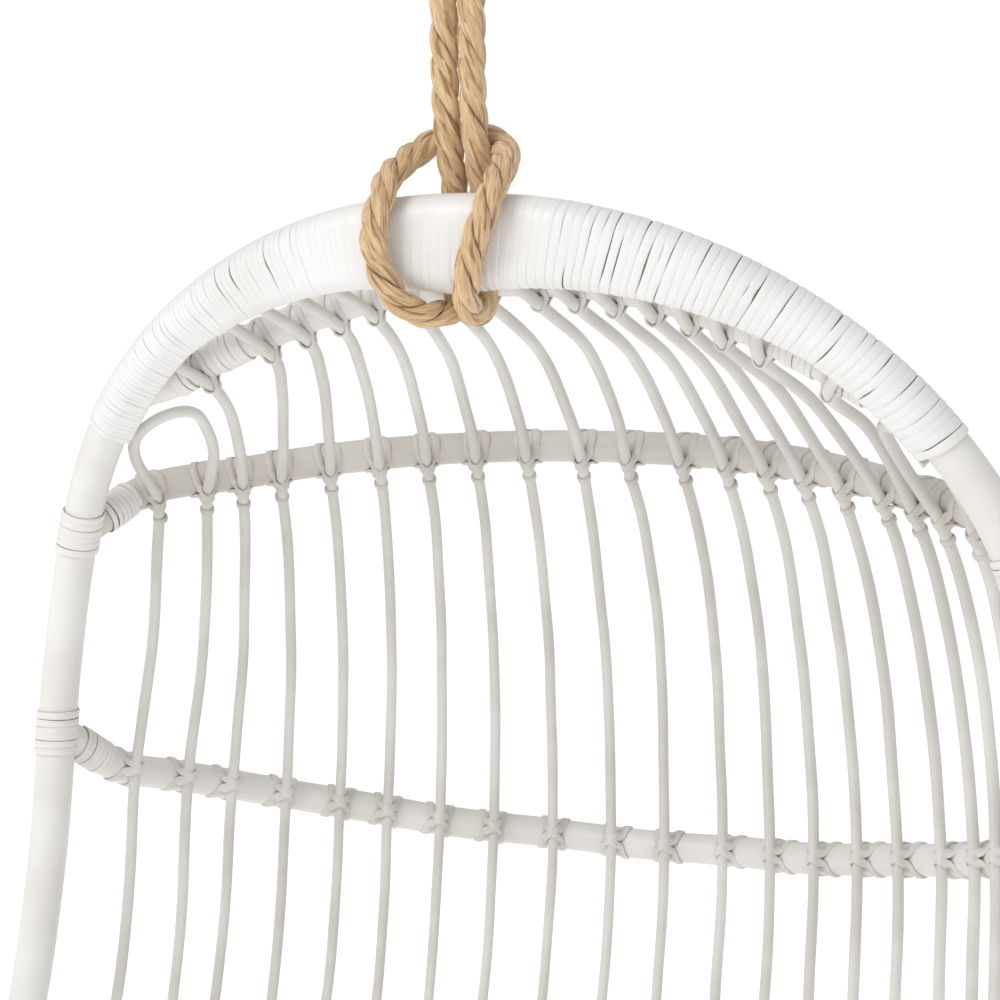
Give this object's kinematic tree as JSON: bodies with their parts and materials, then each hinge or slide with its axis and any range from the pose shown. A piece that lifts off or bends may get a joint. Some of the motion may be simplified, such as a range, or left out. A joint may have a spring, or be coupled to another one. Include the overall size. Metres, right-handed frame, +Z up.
{
  "type": "hanging chair",
  "caption": "Egg-shaped hanging chair of white rattan poles and canes, hung by a doubled rope from a swivel ceiling hanger.",
  "frame": {"origin": "middle of the ceiling plate's upper face, where it meets the ceiling", "axes": "+Z up, the sitter faces -Y, +X to the right seen from the front"},
  "size_m": [0.8186, 0.8835, 1.5011],
  "materials": {
    "painted_pole": "satin",
    "painted_cane": "satin",
    "painted_peel": "satin",
    "rope": "matte",
    "hanger_steel": "satin"
  },
  "bodies": {
    "ceiling": {"ceiling_plate": "hanger_steel", "swing_pin": "hanger_steel"},
    "yoke": {"hanger_yoke": "hanger_steel"},
    "fork": {"swivel_fork": "hanger_steel", "swivel_nut": "hanger_steel", "eye_pin": "hanger_steel"},
    "chair": {"rope_thimble": "hanger_steel", "hanging_rope": "rope", "rope_seizing": "rope", "rim": "painted_pole", "arch_filler": "painted_pole", "arch_wrap": "painted_peel", "back_arch": "painted_pole", "upper_hoop": "painted_pole", "lower_hoop": "painted_pole", "waist_hoop": "painted_pole", "seat_back_hoop": "painted_pole", "seat_mid_hoop": "painted_pole", "seat_front_hoop": "painted_pole", "hoop_bindings": "painted_peel", "arch_bindings": "painted_peel", "arch_lashings": "painted_peel", "upper_lashings": "painted_peel", "lower_lashings": "painted_peel", "waist_lashings": "painted_peel", "seat_back_lashings": "painted_peel", "seat_mid_lashings": "painted_peel", "seat_front_lashings": "painted_peel", "front_lashings": "painted_peel", "loop_cane_left": "painted_cane", "loop_cane_right": "painted_cane", "cane_left_3": "painted_cane", "cane_left_4": "painted_cane", "cane_left_5": "painted_cane", "cane_left_6": "painted_cane", "cane_left_7": "painted_cane", "cane_left_8": "painted_cane", "cane_left_9": "painted_cane", "cane_left_10": "painted_cane", "cane_right_3": "painted_cane", "cane_right_4": "painted_cane", "cane_right_5": "painted_cane", "cane_right_6": "painted_cane", "cane_right_7": "painted_cane", "cane_right_8": "painted_cane", "cane_right_9": "painted_cane", "cane_right_10": "painted_cane"}
  },
  "joints": [
    {"name": "swing_fore_aft", "type": "hinge", "parent": "ceiling", "child": "yoke", "pos_m": [0, 0, -0.038], "axis": [1, 0, 0], "range_deg": [-25, 25]},
    {"name": "spin", "type": "hinge", "parent": "yoke", "child": "fork", "pos_m": [0, 0, -0.095], "axis": [0, 0, 1], "continuous": true},
    {"name": "swing_sideways", "type": "hinge", "parent": "fork", "child": "chair", "pos_m": [0, 0, -0.162], "axis": [0, 1, 0], "range_deg": [-20, 20]}
  ]
}
